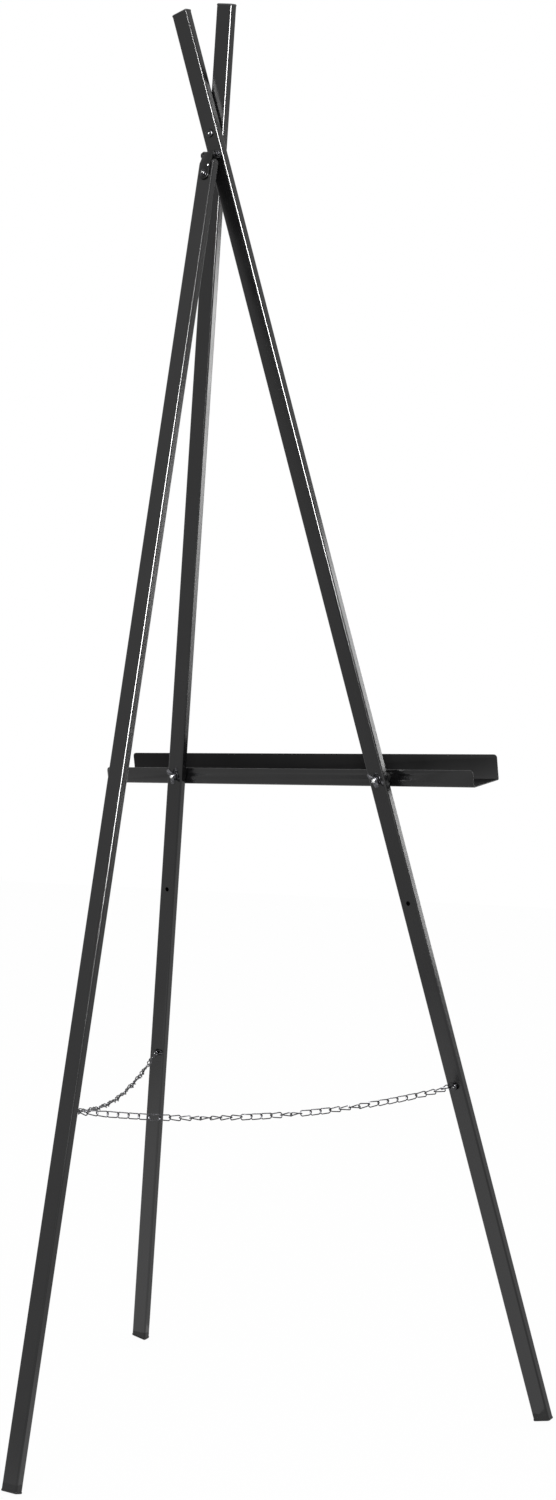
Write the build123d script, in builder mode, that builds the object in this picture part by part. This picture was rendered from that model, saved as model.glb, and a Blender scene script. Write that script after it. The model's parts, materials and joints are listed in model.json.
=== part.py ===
from build123d import *
import os
from math import cos, hypot, pi, radians, sin, tan

# Folding display easel, in millimetres. Z is up, and the floor is Z = 0.
# The tray faces -Y and the prop leg stands towards +Y. Left and right are as seen from the tray side.
# The origin is the middle of the footprint, on the floor.

# Leg tube
leg_width = 21.0
leg_depth = 10.0
leg_wall = 1.0
leg_corner = 2.0

# Front frame: two legs that cross
pivot_height = 1453.0
leg_above_pivot = 139.0
splay_angle = 11.62
lean_angle = 9.1
pivot_bolt_radius = 3.0
pivot_head_radius = 4.6
pivot_head_height = 2.2
pivot_head_rounding = 1.7
pivot_washer_radius = 8.0
pivot_washer_thickness = 0.8
pivot_nut_flats = 10.0
pivot_nut_height = 5.0
pivot_bolt_tail = 1.5

# End plugs
plug_flange = 2.0
plug_proud = 0.4
plug_stem = 14.0
plug_shell = 1.4
plug_fit = 0.15

# Prop leg and its hinge
rear_angle = 12.75
hinge_drop = 24.0
hinge_behind_leg = 5.5
hinge_sideways = 2.0
hinge_pin_radius = 2.0
hinge_knuckle_radius = 4.0
hinge_lug_thickness = 1.6
hinge_lug_gap = 0.2
hinge_lug_radius = 4.5
hinge_base_thickness = 1.2
hinge_head_radius = 3.6
hinge_head_height = 2.2
hinge_nut_flats = 7.0
hinge_nut_height = 3.6
hinge_pin_tail = 1.6
rear_top_below_hinge = 6.5
strap_width = 14.0
strap_thickness = 2.0
strap_bend_drop = 9.5
strap_screw_drop = 24.5
strap_screw_radius = 2.0
strap_screw_length = 8.0
strap_washer_radius = 4.6
strap_washer_thickness = 0.8
strap_head_radius = 3.4
strap_head_height = 2.2
strap_head_rounding = 1.6
rear_plug_stem = 7.5

# Tray
tray_length = 530.0
tray_depth = 54.0
tray_back_height = 19.5
tray_lip_height = 29.0
tray_sheet = 1.2
tray_bend = 2.0
tray_end_corner = 4.0
tray_hole_height = 11.3
tray_bolt_drop = 747.0
spare_hole_drop = 891.0
tray_bolt_radius = 2.5
spare_hole_radius = 2.75
tray_head_radius = 4.8
tray_head_height = 2.8
tray_head_rounding = 2.0
tray_bolt_tail = 0.4
tray_washer_radius = 6.5
tray_washer_thickness = 1.0
tray_spacer_radius = 6.0
wing_hub_radius = 4.6
wing_hub_height = 4.4
wing_span = 22.0
wing_height = 9.5
wing_thickness = 2.2
wing_turn_left = 127.0
wing_turn_right = 111.0

# Chain
chain_hole_drop = 1105.0
chain_screw_radius = 1.9
chain_head_radius = 4.0
chain_head_height = 2.0
chain_head_rounding = 1.4
chain_standoff = 2.0
chain_screw_depth = 6.0
chain_eye_drop = 1069.0
chain_eye_radius = 3.2
chain_eye_wire = 0.9
chain_eye_stem = 2.4
chain_tube_radius = 2.4

# Routes of the two slack chains, from the eye on the prop leg to the screw on each front leg
chain_left_route = [
    (-6, 183, 380),
    (-30, 139, 373),
    (-58, 89, 367),
    (-86, 39, 364),
    (-114, -11, 363),
    (-141, -61, 364),
    (-169, -111, 368),
    (-197, -161, 374),
    (-221.5, -203.8, 382.1),
]
chain_right_route = [
    (0, 183, 380),
    (24, 138, 373),
    (53, 86, 367),
    (82, 35, 363),
    (110, -16, 362),
    (139, -68, 364),
    (168, -119, 368),
    (196, -171, 375),
    (220.6, -215.1, 383.2),
]

# Clearances, and how far a cut runs on past the piece
running = 0.08
apart = 0.3
past = 1.0

lean = radians(lean_angle)
splay = radians(splay_angle)
rear = radians(rear_angle)
leg_gap = pivot_washer_thickness + running
flange_width = leg_width + 2 * plug_proud
flange_depth = leg_depth + 2 * plug_proud
flange_corner = leg_corner + plug_proud
bore_width = leg_width - 2 * leg_wall
bore_depth = leg_depth - 2 * leg_wall
bore_corner = leg_corner - leg_wall


def reach(across, deep):
    """How far the outline of a plug's end face goes in the direction with these two parts."""
    sideways = (flange_width / 2 - flange_corner) * abs(across)
    endways = (flange_depth / 2 - flange_corner) * abs(deep)
    return sideways + endways + flange_corner * hypot(across, deep)


# A front leg's middle lies this far behind the left leg's front face
left_middle = leg_depth / 2
right_middle = -leg_gap - leg_depth / 2
foot_drop = reach(sin(splay) * cos(lean), sin(lean))


def length_below(middle):
    """Leg length from the crossing to the foot's end, so that its lowest corner meets the floor."""
    return (pivot_height - middle * sin(lean) - foot_drop) / (cos(splay) * cos(lean))


left_below = length_below(left_middle)
right_below = length_below(right_middle)
hinge_behind = leg_depth + hinge_behind_leg
hinge_height = pivot_height - hinge_drop * cos(lean) - hinge_behind * sin(lean)
rear_below = (hinge_height - reach(0, sin(rear))) / cos(rear)

# The footprint is centred on the origin
front_edge = right_middle * cos(lean) - right_below * cos(splay) * sin(lean)
front_edge -= reach(sin(splay) * sin(lean), cos(lean))
hinge_from_pivot = hinge_behind * cos(lean) - hinge_drop * sin(lean)
rear_edge = hinge_from_pivot + rear_below * sin(rear) + reach(0, cos(rear))
pivot_x = -(right_below - left_below) * sin(splay) / 2
pivot_y = -(front_edge + rear_edge) / 2

# Frame plane: x towards the left leg's foot, y up the leaning frame, z to the rear.
# Its origin is the crossing, on the left leg's front face.
frame = Plane(origin=(pivot_x, pivot_y, pivot_height), x_dir=(-1, 0, 0), z_dir=(0, cos(lean), -sin(lean)))


def on_frame(across, up, behind):
    """A point given along the frame plane's axes."""
    return frame.from_local_coords(Vector(across, up, behind))


def along_leg(side, drop, behind):
    """A point on a front leg, drop below the crossing. side is 1 for the left leg and -1 for the right."""
    return on_frame(side * drop * sin(splay), -drop * cos(splay), behind)


def facing_rear(point, turn=0.0):
    """A plane through the point, parallel to the frame, with z to the rear, turned about z by degrees."""
    sideways = on_frame(cos(radians(turn)), sin(radians(turn)), 0) - frame.origin
    return Plane(origin=point, x_dir=sideways, z_dir=frame.z_dir)


def facing_front(point):
    """A plane through the point, parallel to the frame, with z to the front."""
    return Plane(origin=point, x_dir=frame.x_dir, z_dir=-frame.z_dir)


def across_leg(side, drop, middle, upward=False):
    """A plane square to a front leg: x across its wide face, z down the leg, or up it."""
    down = along_leg(side, 1, 0) - frame.origin
    wide = on_frame(cos(splay), side * sin(splay), 0) - frame.origin
    return Plane(origin=along_leg(side, drop, middle), x_dir=wide, z_dir=-down if upward else down)


# Prop leg plane: x as the frame's, y up the leg, z to the rear. Its origin is the hinge pin.
hinge_point = on_frame(hinge_sideways, -hinge_drop, hinge_behind)
prop = Plane(origin=hinge_point, x_dir=(-1, 0, 0), z_dir=(0, cos(rear), sin(rear)))


def on_prop(across, up, behind):
    """A point given along the prop leg plane's axes."""
    return prop.from_local_coords(Vector(across, up, behind))


def behind_prop(up, behind, forward=False):
    """A plane along the prop leg's wide faces: x across the leg, z to the rear, or to the front."""
    z_dir = -prop.z_dir if forward else prop.z_dir
    return Plane(origin=on_prop(0, up, behind), x_dir=prop.x_dir, z_dir=z_dir)


def across_prop(up, upward=False):
    """A plane square to the prop leg, with z down the leg, or up it."""
    down = on_prop(0, -1, 0) - prop.origin
    return Plane(origin=on_prop(0, up, 0), x_dir=prop.x_dir, z_dir=-down if upward else down)


def beside(tilted, across, up=0.0, behind=0.0):
    """A plane square to the hinge pin: x to the front and y up in the tilted plane, z along the pin."""
    origin = tilted.from_local_coords(Vector(across, up, behind))
    return Plane(origin=origin, x_dir=-tilted.z_dir, z_dir=tilted.x_dir)


def rim(piece, seat):
    """The edges round a piece's face that lies furthest out from the plane it stands on."""
    return piece.faces().sort_by(Axis(seat.origin, seat.z_dir))[-1].edges()


def tube_section():
    """Draws the tube's outline and its bore in the sketch at hand."""
    RectangleRounded(leg_width, leg_depth, leg_corner)
    RectangleRounded(bore_width, bore_depth, bore_corner, mode=Mode.SUBTRACT)


def save(piece, name):
    """Labels a finished piece and writes it to its own file."""
    piece.part.label = name
    export_step(piece.part, f"parts/{name}.step")


os.makedirs("parts", exist_ok=True)
tube_from_end = plug_flange


# ---- Front legs ----
def front_leg(side, middle, below):
    """A front leg's tube, with its pivot, tray, spare and chain holes."""
    with BuildPart() as leg:
        with BuildSketch(across_leg(side, tube_from_end - leg_above_pivot, middle)):
            tube_section()
        extrude(amount=leg_above_pivot + below - 2 * tube_from_end)
        holes = [(0, pivot_bolt_radius), (tray_bolt_drop, tray_bolt_radius)]
        for drop, radius in holes:
            with BuildSketch(facing_rear(along_leg(side, drop, middle))):
                Circle(radius + running)
            extrude(amount=leg_depth, both=True, mode=Mode.SUBTRACT)
        with BuildSketch(facing_rear(along_leg(side, spare_hole_drop, middle))):
            Circle(spare_hole_radius)
        extrude(amount=leg_depth, both=True, mode=Mode.SUBTRACT)
        with BuildSketch(facing_rear(along_leg(side, chain_hole_drop, middle))):
            Circle(chain_screw_radius + running)
        extrude(amount=leg_depth, mode=Mode.SUBTRACT)
    return leg


save(front_leg(1, left_middle, left_below), "front_leg_left")
save(front_leg(-1, right_middle, right_below), "front_leg_right")


def end_plug(end_plane):
    """A plug whose flange covers a tube's end, with a hollow stem inside. z points out of the tube."""
    with BuildPart() as plug:
        with BuildSketch(end_plane):
            RectangleRounded(flange_width, flange_depth, flange_corner)
        extrude(amount=plug_flange)
        stem_width = bore_width - 2 * plug_fit
        stem_depth = bore_depth - 2 * plug_fit
        with BuildSketch(end_plane):
            RectangleRounded(stem_width, stem_depth, bore_corner)
        extrude(amount=-plug_stem)
        with BuildSketch(end_plane.offset(-plug_stem)):
            Rectangle(stem_width - 2 * plug_shell, stem_depth - 2 * plug_shell)
        extrude(amount=plug_stem - plug_shell, mode=Mode.SUBTRACT)
    return plug


save(end_plug(across_leg(1, left_below - tube_from_end, left_middle)), "foot_plug_left")
save(end_plug(across_leg(-1, right_below - tube_from_end, right_middle)), "foot_plug_right")
save(end_plug(across_prop(tube_from_end - rear_below)), "foot_plug_rear")
top_drop = tube_from_end - leg_above_pivot
save(end_plug(across_leg(1, top_drop, left_middle, upward=True)), "top_plug_left")
save(end_plug(across_leg(-1, top_drop, right_middle, upward=True)), "top_plug_right")

# ---- Crossing ----
right_front = -leg_gap - leg_depth
bolt_reach = leg_depth - right_front + running + pivot_nut_height + pivot_bolt_tail


def round_headed(seat, head_radius, head_height, rounding, shank_radius, shank_length):
    """A screw or bolt with a rounded head on the plane and its plain shank below it."""
    with BuildPart() as screw:
        with BuildSketch(seat):
            Circle(head_radius)
        extrude(amount=head_height)
        fillet(rim(screw, seat), rounding)
        with BuildSketch(seat):
            Circle(shank_radius)
        extrude(amount=-shank_length)
    return screw


pivot_seat = facing_rear(on_frame(0, 0, leg_depth))
pivot_head = pivot_head_radius, pivot_head_height, pivot_head_rounding
save(round_headed(pivot_seat, *pivot_head, pivot_bolt_radius, bolt_reach), "pivot_bolt")

with BuildPart() as pivot_washer:
    with BuildSketch(facing_rear(on_frame(0, 0, 0))):
        Circle(pivot_washer_radius)
        Circle(pivot_bolt_radius + running, mode=Mode.SUBTRACT)
    extrude(amount=-pivot_washer_thickness)
save(pivot_washer, "pivot_washer")


def hex_nut(seat_plane, flats, height, bore):
    """A hexagonal nut that stands on the plane, with its outer corners broken."""
    with BuildPart() as nut:
        with BuildSketch(seat_plane):
            RegularPolygon(flats / 2, 6, major_radius=False)
            Circle(bore, mode=Mode.SUBTRACT)
        extrude(amount=height)
        with BuildSketch(seat_plane):
            Circle(flats * 0.56)
        extrude(amount=height, mode=Mode.INTERSECT)
    return nut


nut_seat = facing_front(on_frame(0, 0, right_front - running))
save(hex_nut(nut_seat, pivot_nut_flats, pivot_nut_height, pivot_bolt_radius + running / 2), "pivot_nut")


def washer(seat_plane, radius, thickness, bore):
    """A flat washer that stands on the plane."""
    with BuildPart() as ring:
        with BuildSketch(seat_plane):
            Circle(radius)
            Circle(bore, mode=Mode.SUBTRACT)
        extrude(amount=thickness)
    return ring


# ---- Hinge ----
# The bracket stands on the left leg's rear face, and its two lugs hold the pin.
lug_inside = strap_width / 2 + hinge_lug_gap
lug_outside = lug_inside + hinge_lug_thickness
pin_hole = hinge_pin_radius + running / 2
upright = Plane(origin=hinge_point, x_dir=frame.x_dir, z_dir=frame.z_dir)
with BuildPart() as hinge_bracket:
    with BuildSketch(facing_rear(on_frame(hinge_sideways, -hinge_drop, leg_depth))):
        Rectangle(2 * lug_outside, 2 * hinge_lug_radius)
    extrude(amount=hinge_base_thickness)
    for lug_start in (-lug_outside, lug_inside):
        with BuildSketch(beside(upright, lug_start)):
            Circle(hinge_lug_radius)
            with Locations((hinge_behind_leg / 2, 0)):
                Rectangle(hinge_behind_leg, 2 * hinge_lug_radius)
            Circle(pin_hole, mode=Mode.SUBTRACT)
        extrude(amount=hinge_lug_thickness)
save(hinge_bracket, "hinge_bracket")

with BuildPart() as hinge_pin:
    with BuildSketch(beside(upright, -lug_outside - hinge_head_height)):
        Circle(hinge_head_radius)
    extrude(amount=hinge_head_height)
    with BuildSketch(beside(upright, -lug_outside)):
        Circle(hinge_pin_radius)
    extrude(amount=2 * lug_outside + hinge_nut_height + hinge_pin_tail)
save(hinge_pin, "hinge_pin")
save(hex_nut(beside(upright, lug_outside), hinge_nut_flats, hinge_nut_height, pin_hole), "hinge_nut")

# The strap lies on the prop leg's rear face and is bent forward to its knuckle on the pin.
prop_back = leg_depth / 2
strap_back = prop_back + strap_thickness
strap_end = strap_screw_drop + strap_width / 2
strap_hole = strap_screw_radius + running
with BuildPart() as hinge_strap:
    with BuildSketch(beside(prop, -strap_width / 2)):
        with BuildLine():
            Polyline(
                (-prop_back, -strap_end),
                (-strap_back, -strap_end),
                (-strap_back, -strap_bend_drop - strap_thickness / 2),
                (-hinge_knuckle_radius, 0),
                (-hinge_knuckle_radius + strap_thickness / 2, 0),
                (-hinge_pin_radius, -hinge_pin_radius),
                (-prop_back, -strap_bend_drop),
                close=True,
            )
        make_face()
        Circle(hinge_knuckle_radius)
        Circle(pin_hole, mode=Mode.SUBTRACT)
    extrude(amount=strap_width)
    with BuildSketch(behind_prop(-strap_screw_drop, 0)):
        Circle(strap_hole)
    extrude(amount=strap_back + past, mode=Mode.SUBTRACT)
    through = hinge_strap.edges().filter_by(Axis(prop.origin, prop.z_dir))
    fillet(through.sort_by(Axis(prop.origin, prop.y_dir))[:2], strap_width / 2 - running)
save(hinge_strap, "hinge_strap")

strap_face = behind_prop(-strap_screw_drop, strap_back)
save(washer(strap_face, strap_washer_radius, strap_washer_thickness, strap_hole), "strap_washer")
screw_seat = strap_face.offset(strap_washer_thickness)
strap_head = strap_head_radius, strap_head_height, strap_head_rounding
save(round_headed(screw_seat, *strap_head, strap_screw_radius, strap_screw_length), "strap_screw")

# ---- Prop leg ----
tube_top = -rear_top_below_hinge - leg_depth / 2
with BuildPart() as rear_leg:
    with BuildSketch(across_prop(tube_top)):
        tube_section()
    extrude(amount=rear_below - tube_from_end + tube_top)
    with BuildSketch(behind_prop(-strap_screw_drop, 0)):
        Circle(strap_hole)
    extrude(amount=leg_depth, mode=Mode.SUBTRACT)
    with BuildSketch(behind_prop(-chain_eye_drop, 0, forward=True)):
        Circle(chain_eye_wire + running)
    extrude(amount=leg_depth, mode=Mode.SUBTRACT)
save(rear_leg, "rear_leg")

with BuildPart() as top_plug_rear:
    with BuildSketch(beside(prop, -leg_width / 2, up=tube_top)):
        Circle(leg_depth / 2)
        with Locations((0, -leg_depth / 2)):
            Rectangle(leg_depth, leg_depth, mode=Mode.SUBTRACT)
    extrude(amount=leg_width)
    ends = top_plug_rear.faces().filter_by(Axis(prop.origin, prop.x_dir))
    fillet(ends.edges().filter_by(GeomType.CIRCLE), leg_corner)
    with BuildSketch(across_prop(tube_top)):
        RectangleRounded(bore_width - 2 * plug_fit, bore_depth - 2 * plug_fit, bore_corner)
    extrude(amount=rear_plug_stem)
save(top_plug_rear, "top_plug_rear")

# ---- Tray ----
tray_back = right_front - apart
tray_bottom = -tray_bolt_drop * cos(splay) - tray_hole_height
tray_profile = Plane(
    origin=on_frame(-tray_length / 2, tray_bottom, tray_back), x_dir=-frame.z_dir, z_dir=frame.x_dir
)
with BuildPart() as tray:
    with BuildSketch(tray_profile) as channel:
        with BuildLine():
            Polyline(
                (0, tray_back_height),
                (0, 0),
                (tray_depth, 0),
                (tray_depth, tray_lip_height),
                (tray_depth - tray_sheet, tray_lip_height),
                (tray_depth - tray_sheet, tray_sheet),
                (tray_sheet, tray_sheet),
                (tray_sheet, tray_back_height),
                close=True,
            )
        make_face()
        low = channel.vertices().group_by(Axis.Y)
        fillet(low[0], tray_bend)
        fillet(low[1], tray_bend - tray_sheet)
    extrude(amount=tray_length)
    upward = Axis(frame.origin, frame.y_dir)
    wall_ends = tray.edges().filter_by(Axis(frame.origin, frame.z_dir)).group_by(upward)
    corners = [edge for group in wall_ends for edge in group if edge.length < 2 * tray_sheet]
    fillet(corners, tray_end_corner)
    for side in (1, -1):
        with BuildSketch(facing_front(along_leg(side, tray_bolt_drop, tray_back + past))):
            Circle(tray_bolt_radius + running)
        extrude(amount=tray_sheet + 2 * past, mode=Mode.SUBTRACT)
save(tray, "tray")


def wing_nut(seat_plane, bore):
    """A wing nut on the plane: a tapered hub between two rounded wings."""
    with BuildPart() as nut:
        with BuildSketch(seat_plane):
            Circle(wing_hub_radius)
        with BuildSketch(seat_plane.offset(wing_hub_height)):
            Circle(wing_hub_radius * 0.8)
        loft()
        upright_wing = Plane(origin=seat_plane.origin, x_dir=seat_plane.x_dir, z_dir=seat_plane.y_dir)
        wing_radius = wing_height * 0.36
        with BuildSketch(upright_wing):
            for way in (1, -1):
                with BuildLine():
                    Polyline(
                        (way * wing_hub_radius * 0.5, -0.6),
                        (way * wing_hub_radius * 0.5, -wing_hub_height * 0.8),
                        (way * (wing_span / 2 - 2 * wing_radius), -wing_height + wing_radius * 0.6),
                        (way * (wing_span / 2 - 0.4), -wing_height + wing_radius * 1.6),
                        close=True,
                    )
                make_face()
                with Locations((way * (wing_span / 2 - wing_radius), -wing_height + wing_radius)):
                    Circle(wing_radius)
        extrude(amount=wing_thickness / 2, both=True)
        with BuildSketch(seat_plane):
            Circle(bore)
        extrude(amount=wing_height + past, mode=Mode.SUBTRACT)
    return nut


# The left tray bolt stays in the left leg, and the tray can swing on it.
thread_hole = tray_bolt_radius + running / 2
left_rear = leg_depth
left_seat = facing_rear(along_leg(1, tray_bolt_drop, left_rear), wing_turn_left)
right_rear = -leg_gap
right_seat = facing_rear(along_leg(-1, tray_bolt_drop, right_rear), wing_turn_right)
wall_front = tray_back - tray_sheet
washer_bore = tray_bolt_radius + running
wing_stack = tray_washer_thickness + apart
bolt_end = wing_stack + wing_hub_height + tray_bolt_tail

tray_head = tray_head_radius, tray_head_height, tray_head_rounding
left_head_seat = facing_front(along_leg(1, tray_bolt_drop, wall_front - apart))
left_shank = left_rear + bolt_end - wall_front + apart
save(round_headed(left_head_seat, *tray_head, tray_bolt_radius, left_shank), "tray_bolt_left")
spacer_seat = facing_front(along_leg(1, tray_bolt_drop, 0))
save(washer(spacer_seat, tray_spacer_radius, -tray_back - apart, washer_bore), "tray_spacer")
save(washer(left_seat, tray_washer_radius, tray_washer_thickness, washer_bore), "tray_washer_left")
save(wing_nut(left_seat.offset(wing_stack), thread_hole), "wing_nut_left")

# The right tray bolt is parted at the leg's front face: its head goes with the tray, the rest with the leg.
right_head_seat = facing_front(along_leg(-1, tray_bolt_drop, wall_front))
save(round_headed(right_head_seat, *tray_head, tray_bolt_radius, tray_sheet), "tray_bolt_right")
with BuildPart() as tray_stud_right:
    with BuildSketch(facing_rear(along_leg(-1, tray_bolt_drop, right_front))):
        Circle(tray_bolt_radius)
    extrude(amount=leg_depth + bolt_end)
save(tray_stud_right, "tray_stud_right")
save(washer(right_seat, tray_washer_radius, tray_washer_thickness, washer_bore), "tray_washer_right")
save(wing_nut(right_seat.offset(wing_stack), thread_hole), "wing_nut_right")

# ---- Chain ends ----
chain_head = chain_head_radius, chain_head_height, chain_head_rounding
chain_shank = chain_standoff + chain_screw_depth
for name, side, back in (("left", 1, left_rear), ("right", -1, right_rear)):
    chain_seat = facing_rear(along_leg(side, chain_hole_drop, back + chain_standoff))
    save(round_headed(chain_seat, *chain_head, chain_screw_radius, chain_shank), f"chain_screw_{name}")

with BuildPart() as chain_eye:
    eye_reach = chain_eye_stem + chain_eye_radius
    eye_centre = on_prop(0, -chain_eye_drop, -prop_back - eye_reach)
    ring_start = eye_centre + prop.y_dir * chain_eye_radius
    with BuildSketch(Plane(origin=ring_start, x_dir=prop.y_dir, z_dir=prop.z_dir)):
        Circle(chain_eye_wire)
    revolve(axis=Axis(eye_centre, prop.x_dir))
    with BuildSketch(behind_prop(-chain_eye_drop, -prop_back + chain_screw_depth / 2, forward=True)):
        Circle(chain_eye_wire)
    extrude(amount=chain_screw_depth / 2 + chain_eye_stem)
save(chain_eye, "chain_eye")


def chain_tube(route, name):
    """A thin round tube along a chain's route, each bend as wide as its two runs allow."""
    points = [Vector(point) for point in route]
    runs = [after - before for before, after in zip(points, points[1:])]
    bends = []
    for before, after in zip(runs, runs[1:]):
        half_turn = radians(before.get_angle(after)) / 2
        bends.append(0.45 * min(before.length, after.length) / tan(half_turn))
    with BuildPart() as tube:
        with BuildLine() as path:
            FilletPolyline(*points, radius=bends)
        with BuildSketch(Plane(origin=points[0], z_dir=runs[0])):
            Circle(chain_tube_radius)
        sweep()
    section = pi * chain_tube_radius**2
    print(name, "bend radii", [round(bend) for bend in bends])
    print(name, "volume over section times length", tube.part.volume / section / path.wire().length)
    save(tube, name)


chain_tube(chain_left_route, "chain_left")
chain_tube(chain_right_route, "chain_right")
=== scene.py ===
import json
from math import pi, radians, sin, tau

import bmesh
import bpy
from bpy.props import FloatProperty, FloatVectorProperty, IntProperty, PointerProperty
from mathutils import Matrix, Vector

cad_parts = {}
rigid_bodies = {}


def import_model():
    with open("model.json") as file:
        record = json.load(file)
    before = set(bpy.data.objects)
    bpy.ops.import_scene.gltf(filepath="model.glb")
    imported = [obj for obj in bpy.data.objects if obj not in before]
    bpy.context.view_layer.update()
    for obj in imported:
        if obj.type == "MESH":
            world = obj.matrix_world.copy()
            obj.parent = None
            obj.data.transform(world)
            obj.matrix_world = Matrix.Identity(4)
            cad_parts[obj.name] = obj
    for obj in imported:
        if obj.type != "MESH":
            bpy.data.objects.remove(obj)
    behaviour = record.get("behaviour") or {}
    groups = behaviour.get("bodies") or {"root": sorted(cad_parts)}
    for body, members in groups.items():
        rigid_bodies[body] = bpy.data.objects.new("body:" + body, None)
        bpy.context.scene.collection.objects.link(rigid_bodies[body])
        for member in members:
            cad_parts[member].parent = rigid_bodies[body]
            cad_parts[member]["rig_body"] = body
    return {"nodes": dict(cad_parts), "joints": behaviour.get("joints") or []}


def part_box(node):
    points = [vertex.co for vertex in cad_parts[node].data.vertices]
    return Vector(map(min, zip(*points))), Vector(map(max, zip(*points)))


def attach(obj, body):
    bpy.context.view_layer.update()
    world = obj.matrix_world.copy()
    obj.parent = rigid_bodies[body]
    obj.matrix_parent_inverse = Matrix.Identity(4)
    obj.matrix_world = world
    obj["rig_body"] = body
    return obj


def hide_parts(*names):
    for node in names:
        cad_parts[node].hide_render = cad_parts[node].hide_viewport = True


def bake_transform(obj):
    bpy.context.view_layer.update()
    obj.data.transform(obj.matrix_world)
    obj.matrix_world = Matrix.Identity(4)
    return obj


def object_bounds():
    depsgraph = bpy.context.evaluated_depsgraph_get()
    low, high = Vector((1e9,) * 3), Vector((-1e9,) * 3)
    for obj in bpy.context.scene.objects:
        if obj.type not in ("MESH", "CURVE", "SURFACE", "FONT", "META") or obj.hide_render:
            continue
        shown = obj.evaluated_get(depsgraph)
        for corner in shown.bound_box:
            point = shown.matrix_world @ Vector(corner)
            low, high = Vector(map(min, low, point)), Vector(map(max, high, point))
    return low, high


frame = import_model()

bl_info = {
    "name": "Display Easel",
    "version": (1, 0, 0),
    "blender": (4, 5, 0),
    "location": "View3D > Sidebar > Easel",
    "description": "Dresses a folding display easel: coated tubes, plugs, hinge, tray and link chains",
    "category": "Object",
}

CAD_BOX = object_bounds()
MM = 0.001
UP = Vector((0, 0, 1))
# Points this close together are one point, and points this close to a face lie on it.
WELD = 0.001 * MM
FLAT = 0.02 * MM
JOINTS = {joint["name"]: joint for joint in frame["joints"]}


# ---- Places taken from the frame ----
def joint_point(name):
    """Where a joint turns, in the frame's axes."""
    return Vector(JOINTS[name]["pos_m"])


# The leaning plane of the two front legs: its normal points to the rear.
REARWARD = Vector(JOINTS["front_fold"]["axis"]).normalized()
LEVEL = UP.cross(REARWARD).normalized()


def seat(point, out, turn=0.0):
    """A placing whose z points out and whose x is level, then turned about z by radians."""
    level = UP.cross(out).normalized()
    basis = Matrix((level, out.cross(level), out)).transposed().to_4x4()
    return Matrix.Translation(point) @ basis @ Matrix.Rotation(turn, 4, "Z")


def end_face(node, out):
    """The middle of a node's end that lies furthest along a direction."""
    out = out.normalized()
    level = out.orthogonal().normalized()
    upright = out.cross(level)
    points = [vertex.co for vertex in frame["nodes"][node].data.vertices]
    reach = max(point.dot(out) for point in points)
    rim = [point for point in points if point.dot(out) > reach - FLAT]
    middle = out * reach
    for direction in (level, upright):
        spans = [point.dot(direction) for point in rim]
        middle += direction * (min(spans) + max(spans)) / 2
    return middle


# ---- Colours ----
def linear(code):
    """Turns an sRGB hex colour into linear red, green and blue."""
    parts = [int(code[i : i + 2], 16) / 255 for i in (0, 2, 4)]
    return tuple(part / 12.92 if part <= 0.04045 else ((part + 0.055) / 1.055) ** 2.4 for part in parts)


def opaque(colour):
    """Adds full opacity to a colour."""
    return (*colour, 1.0)


# ---- Settings ----
class EaselCoatingSettings(bpy.types.PropertyGroup):
    """Powder coat on the tubes, the tray and the hinge."""

    tube: FloatVectorProperty(
        name="Coating", description="Powder coat on the legs", subtype="COLOR", default=linear("0c0c0d")
    )
    bloom: FloatVectorProperty(
        name="Bloom", description="Paler tone in the coat's clouds", subtype="COLOR", default=linear("111112")
    )
    hinge: FloatVectorProperty(
        name="Hinge", description="Black plating on the hinge", subtype="COLOR", default=linear("0b0b0c")
    )
    roughness: FloatProperty(
        name="Roughness", description="How matt the coat is", default=0.21, min=0.0, max=1.0, subtype="FACTOR"
    )
    grain: FloatProperty(
        name="Orange peel", description="Size of the coat's fine dimples", default=1.1 * MM, unit="LENGTH"
    )


class EaselFittingSettings(bpy.types.PropertyGroup):
    """Bolts, screws, washers, nuts and wing nuts."""

    zinc: FloatVectorProperty(
        name="Zinc", description="Black zinc on screws and bolts", subtype="COLOR", default=linear("38383a")
    )
    # Painted highlight: this bright zinc gives the small glints on the black fittings.
    glint_zinc: FloatVectorProperty(
        name="Bright zinc", description="Where the black is worn", subtype="COLOR", default=linear("e2e3e2")
    )
    dark_plate: FloatVectorProperty(
        name="Dark plate", description="Black nickel of wing nuts", subtype="COLOR", default=linear("58585b")
    )
    plug: FloatVectorProperty(
        name="Plug plastic", description="Moulded end plugs", subtype="COLOR", default=linear("0d0d0e")
    )
    wing_span: FloatProperty(
        name="Wing span", description="Across both wings", default=19 * MM, unit="LENGTH"
    )
    wing_height: FloatProperty(
        name="Wing height", description="Seat to wing tip", default=8.8 * MM, unit="LENGTH"
    )
    hub_radius: FloatProperty(
        name="Hub radius", description="Wing nut hub at its seat", default=4.6 * MM, unit="LENGTH"
    )
    hub_height: FloatProperty(name="Hub height", description="Wing nut hub", default=4.4 * MM, unit="LENGTH")
    bolt_radius: FloatProperty(
        name="Bolt radius", description="Tray bolt's shank", default=2.5 * MM, unit="LENGTH"
    )
    thread_pitch: FloatProperty(
        name="Thread pitch", description="Of the M5 bolts", default=0.8 * MM, unit="LENGTH"
    )


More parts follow.
